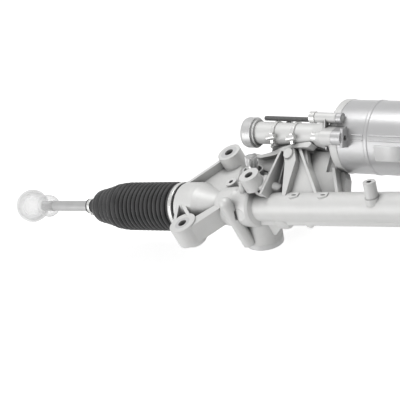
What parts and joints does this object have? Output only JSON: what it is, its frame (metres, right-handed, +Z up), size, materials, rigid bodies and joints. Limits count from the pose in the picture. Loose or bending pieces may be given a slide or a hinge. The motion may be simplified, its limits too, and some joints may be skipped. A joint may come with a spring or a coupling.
{
  "type": "steering gear",
  "caption": "Electric power steering gear: rack in a cast tube with bellows boots, ball-jointed tie rods, splined steering pinion, worm drive and motor.",
  "frame": {"origin": "middle of the front left mounting bore", "axes": "+X along the rack, away from the steering pinion's end; +Z up along the mounting bolts; +Y to the rear, towards the motor"},
  "size_m": [1.288, 0.2381, 0.1799],
  "materials": {
    "cast_aluminium": "satin casting",
    "machined_aluminium": "machined",
    "motor_shell": "satin zinc",
    "bright_steel": "ground",
    "zinc_hardware": "bright zinc",
    "black_rubber": "slight gloss",
    "milky_plastic": "translucent",
    "bearing_steel": "ground",
    "nylon": "matte",
    "motor_core": "matte",
    "black_plastic": "matte",
    "grey_sleeve": "ribbed"
  },
  "bodies": {
    "housing": {"rack_housing": "cast_aluminium", "pinion_cap": "machined_aluminium", "lower_bearing": "bearing_steel", "upper_bearing": "bearing_steel", "input_seal": "black_rubber", "torque_sensor": "nylon", "yoke": "bearing_steel", "yoke_spring": "zinc_hardware", "yoke_plug": "cast_aluminium", "rack_bushes": "nylon", "sensor_cover": "cast_aluminium", "drive_housing": "cast_aluminium", "wheel_cover": "machined_aluminium", "worm_end_cap": "machined_aluminium", "worm_bearings": "bearing_steel", "drive_bearings": "bearing_steel", "vent_plug": "zinc_hardware", "drive_screws": "zinc_hardware", "motor_flange": "cast_aluminium", "motor_can": "motor_shell", "stator": "motor_core", "control_unit": "black_plastic", "connectors": "black_plastic", "flange_bolts": "zinc_hardware", "conduit": "grey_sleeve", "band_clamps": "zinc_hardware", "boot_left": "black_rubber", "boot_right": "black_rubber", "boot_clamps": "zinc_hardware"},
    "rack": {"rack_bar": "bright_steel", "ball_socket_left": "bright_steel", "ball_socket_right": "bright_steel"},
    "steering_pinion": {"steering_pinion": "bright_steel"},
    "input_shaft": {"input_shaft": "bright_steel", "torsion_bar": "bright_steel"},
    "drive_pinion": {"drive_pinion": "bright_steel", "worm_wheel": "nylon"},
    "worm": {"worm_shaft": "bright_steel", "shaft_coupling": "black_rubber", "motor_rotor": "motor_core"},
    "seat_left": {"ball_seat_left": "nylon"},
    "rod_left": {"tie_rod_left": "bright_steel", "small_clamp_left": "zinc_hardware"},
    "cap_left": {"thread_cap_left": "milky_plastic"},
    "seat_right": {"ball_seat_right": "nylon"},
    "rod_right": {"tie_rod_right": "bright_steel", "small_clamp_right": "zinc_hardware"},
    "cap_right": {"thread_cap_right": "milky_plastic"}
  },
  "joints": [
    {"name": "worm_turn", "type": "hinge", "parent": "housing", "child": "worm", "pos_m": [0.13659, 0.1417, 0.05201], "axis": [0.9853, 0.0803, -0.151], "range_deg": [-9389.58, 9389.58]},
    {"name": "rack_slide", "type": "slide", "parent": "housing", "child": "rack", "axis": [1, 0, 0], "range_m": [-0.07, 0.07], "deforming": ["boot_left", "boot_right"]},
    {"name": "pinion_turn", "type": "hinge", "parent": "housing", "child": "steering_pinion", "pos_m": [0.08, 0.07208, -0.0097], "axis": [0.1736, 0.2764, 0.9452], "range_deg": [-451.41, 451.41]},
    {"name": "input_twist", "type": "hinge", "parent": "steering_pinion", "child": "input_shaft", "pos_m": [0.08, 0.07208, -0.0097], "axis": [0.1736, 0.2764, 0.9452], "range_deg": [-4.5, 4.5], "stiffness_Nm_per_rad": 130},
    {"name": "drive_turn", "type": "hinge", "parent": "housing", "child": "drive_pinion", "pos_m": [0.132, 0.06039, -0.02116], "axis": [-0.0384, 0.9643, 0.262], "range_deg": [-458.04, 458.04]},
    {"name": "left_rod_lift", "type": "hinge", "parent": "rack", "child": "seat_left", "pos_m": [-0.118, 0.056, -0.005], "axis": [0, 1, 0], "range_deg": [-18, 18], "deforming": ["boot_left"]},
    {"name": "left_rod_swing", "type": "hinge", "parent": "seat_left", "child": "rod_left", "pos_m": [-0.118, 0.056, -0.005], "axis": [0, 0, 1], "range_deg": [-12, 12], "deforming": ["boot_left"]},
    {"name": "left_cap_pull", "type": "slide", "parent": "rod_left", "child": "cap_left", "axis": [-1, 0, 0], "range_m": [0, 0.06]},
    {"name": "right_rod_lift", "type": "hinge", "parent": "rack", "child": "seat_right", "pos_m": [0.582, 0.056, -0.005], "axis": [0, 1, 0], "range_deg": [-18, 18], "deforming": ["boot_right"]},
    {"name": "right_rod_swing", "type": "hinge", "parent": "seat_right", "child": "rod_right", "pos_m": [0.582, 0.056, -0.005], "axis": [0, 0, 1], "range_deg": [-12, 12], "deforming": ["boot_right"]},
    {"name": "right_cap_pull", "type": "slide", "parent": "rod_right", "child": "cap_right", "axis": [1, 0, 0], "range_m": [0, 0.06]}
  ],
  "couplings": [
    {"joint": "rack_slide", "follows": "worm_turn", "m_per_rad": -0.00042714},
    {"joint": "pinion_turn", "follows": "worm_turn", "ratio": -0.048075},
    {"joint": "drive_turn", "follows": "worm_turn", "ratio": -0.04878}
  ]
}
